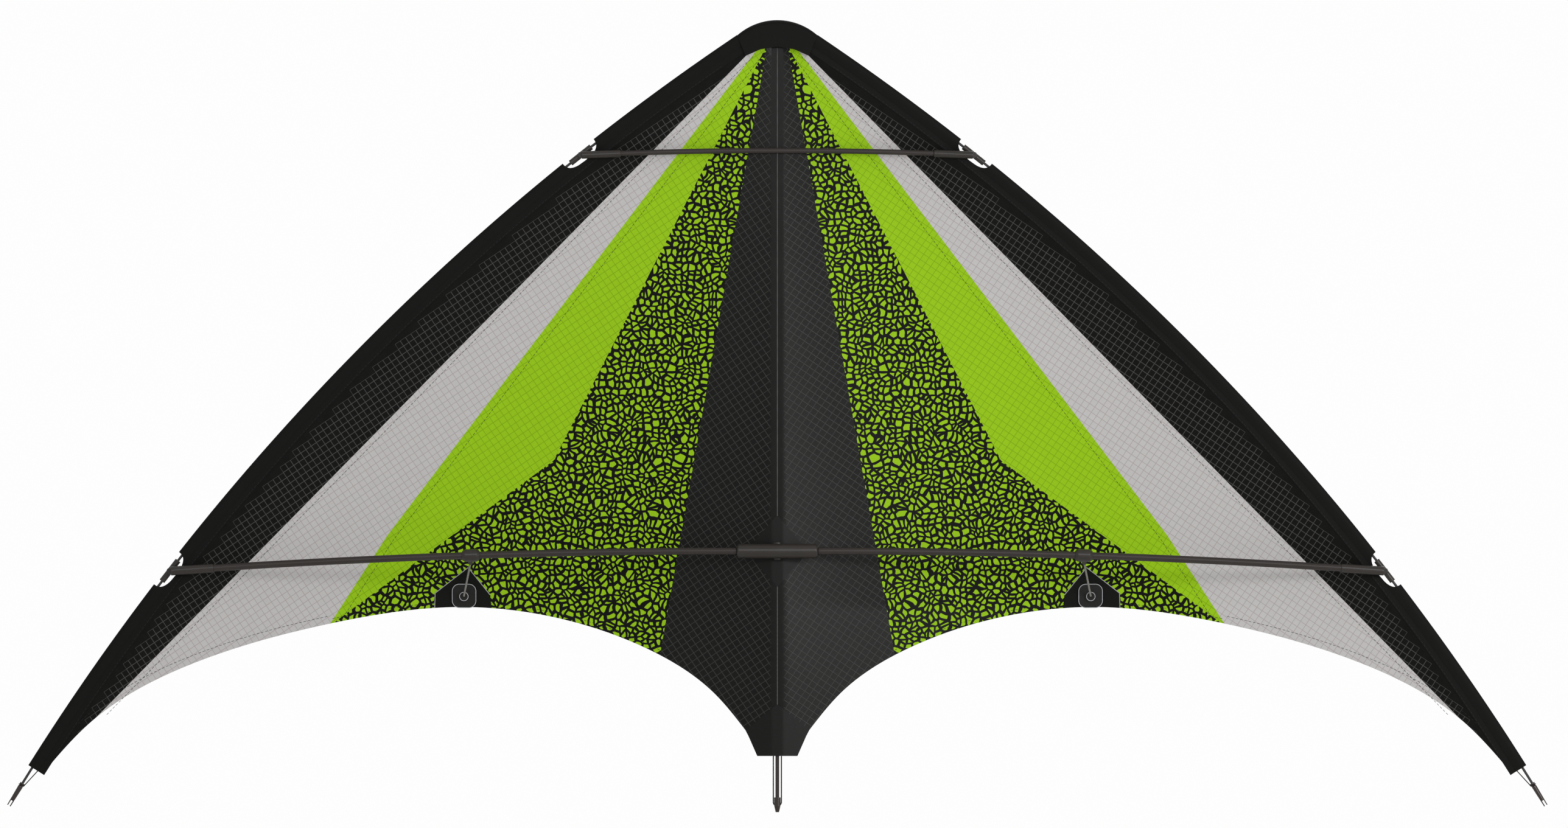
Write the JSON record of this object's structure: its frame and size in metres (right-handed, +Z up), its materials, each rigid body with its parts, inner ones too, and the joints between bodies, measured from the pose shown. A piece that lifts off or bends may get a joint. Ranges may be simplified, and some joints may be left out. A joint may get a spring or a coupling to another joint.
{
  "type": "two-line delta sport kite",
  "caption": "Framed two-line delta sport kite: panelled sail on bent leading edge rods, spine, spreaders, standoffs and moulded fittings.",
  "frame": {"origin": "centre of the centre fitting, where the bridle's centre leg is tied", "axes": "+Z up the spine to the nose, +X to the right wing as the flyer sees it, -Y towards the flyer"},
  "size_m": [1.225, 0.0697, 0.6302],
  "materials": {
    "black_cloth": "matt ripstop polyester",
    "grey_cloth": "satin ripstop polyester",
    "green_cloth": "satin ripstop polyester",
    "print_cloth": "satin ripstop polyester with a printed crackle",
    "edge_cloth": "matt woven polyester tape",
    "rod": "satin fibre rod",
    "fitting": "satin moulded vinyl",
    "line": "braided line",
    "elastic": "round elastic"
  },
  "bodies": {
    "spine": {"spine_rod": "rod", "spine_top_cap": "fitting", "spine_sleeve_upper": "edge_cloth", "spine_sleeve_lower": "edge_cloth", "centre_cross": "fitting", "tail_cap": "fitting", "tail_tension_line": "line", "nose_patch": "edge_cloth", "keel_patch": "edge_cloth", "tail_patch": "edge_cloth"},
    "wing_right": {"panel_black_edge_right": "black_cloth", "panel_grey_right": "grey_cloth", "panel_green_right": "green_cloth", "panel_print_right": "print_cloth", "panel_keel_right": "black_cloth", "leading_edge_rod_right": "rod", "leading_edge_cap_right": "fitting", "leading_edge_pocket_right": "edge_cloth", "tip_nock_right": "fitting", "tip_elastic_right": "elastic", "standoff_patch_right": "edge_cloth", "standoff_socket_right": "fitting"},
    "lower_spreader_right": {"lower_connector_right": "fitting", "lower_spreader_right": "rod"},
    "standoff_right": {"standoff_clip_right": "fitting", "standoff_rod_right": "rod"},
    "wing_left": {"panel_black_edge_left": "black_cloth", "panel_grey_left": "grey_cloth", "panel_green_left": "green_cloth", "panel_print_left": "print_cloth", "panel_keel_left": "black_cloth", "leading_edge_rod_left": "rod", "leading_edge_cap_left": "fitting", "leading_edge_pocket_left": "edge_cloth", "tip_nock_left": "fitting", "tip_elastic_left": "elastic", "standoff_patch_left": "edge_cloth", "standoff_socket_left": "fitting"},
    "lower_spreader_left": {"lower_connector_left": "fitting", "lower_spreader_left": "rod"},
    "standoff_left": {"standoff_clip_left": "fitting", "standoff_rod_left": "rod"},
    "upper_spreader": {"upper_connector_left": "fitting", "upper_spreader": "rod"},
    "upper_connector_right": {"upper_connector_right": "fitting"}
  },
  "joints": [
    {"name": "wing_right_fold", "type": "hinge", "parent": "spine", "child": "wing_right", "pos_m": [0.0045, 0.0073, 0], "axis": [0, 0, 1], "range_deg": [0, 60], "deforming": ["nose_patch", "keel_patch", "tail_patch"]},
    {"name": "wing_left_fold", "type": "hinge", "parent": "spine", "child": "wing_left", "pos_m": [-0.0045, 0.0073, 0], "axis": [0, 0, -1], "range_deg": [0, 60], "deforming": ["nose_patch", "keel_patch", "tail_patch"]},
    {"name": "lower_spreader_right_swing", "type": "hinge", "parent": "wing_right", "child": "lower_spreader_right", "pos_m": [0.48289, 0.03477, -0.0157], "axis": [-0.6122, -0.0428, 0.7895], "range_deg": [0, 120]},
    {"name": "lower_spreader_left_swing", "type": "hinge", "parent": "wing_left", "child": "lower_spreader_left", "pos_m": [-0.48289, 0.03477, -0.0157], "axis": [-0.6122, 0.0428, -0.7895], "range_deg": [0, 120]},
    {"name": "standoff_right_turn", "type": "hinge", "parent": "lower_spreader_right", "child": "standoff_right", "pos_m": [0.2437, 0.0147, -0.00342], "axis": [-0.9976, -0.0602, 0.0329], "range_deg": [0, 100]},
    {"name": "standoff_left_turn", "type": "hinge", "parent": "lower_spreader_left", "child": "standoff_left", "pos_m": [-0.2437, 0.0147, -0.00342], "axis": [-0.9976, 0.0602, -0.0329], "range_deg": [0, 100]},
    {"name": "upper_spreader_swing", "type": "hinge", "parent": "wing_left", "child": "upper_spreader", "pos_m": [-0.15616, 0.01192, 0.3152], "axis": [-0.7813, 0.0546, -0.6218], "range_deg": [0, 110]},
    {"name": "upper_connector_right_turn", "type": "hinge", "parent": "wing_right", "child": "upper_connector_right", "pos_m": [0.15616, 0.01192, 0.3152], "axis": [-0.7813, -0.0546, 0.6218], "range_deg": [0, 110]}
  ]
}
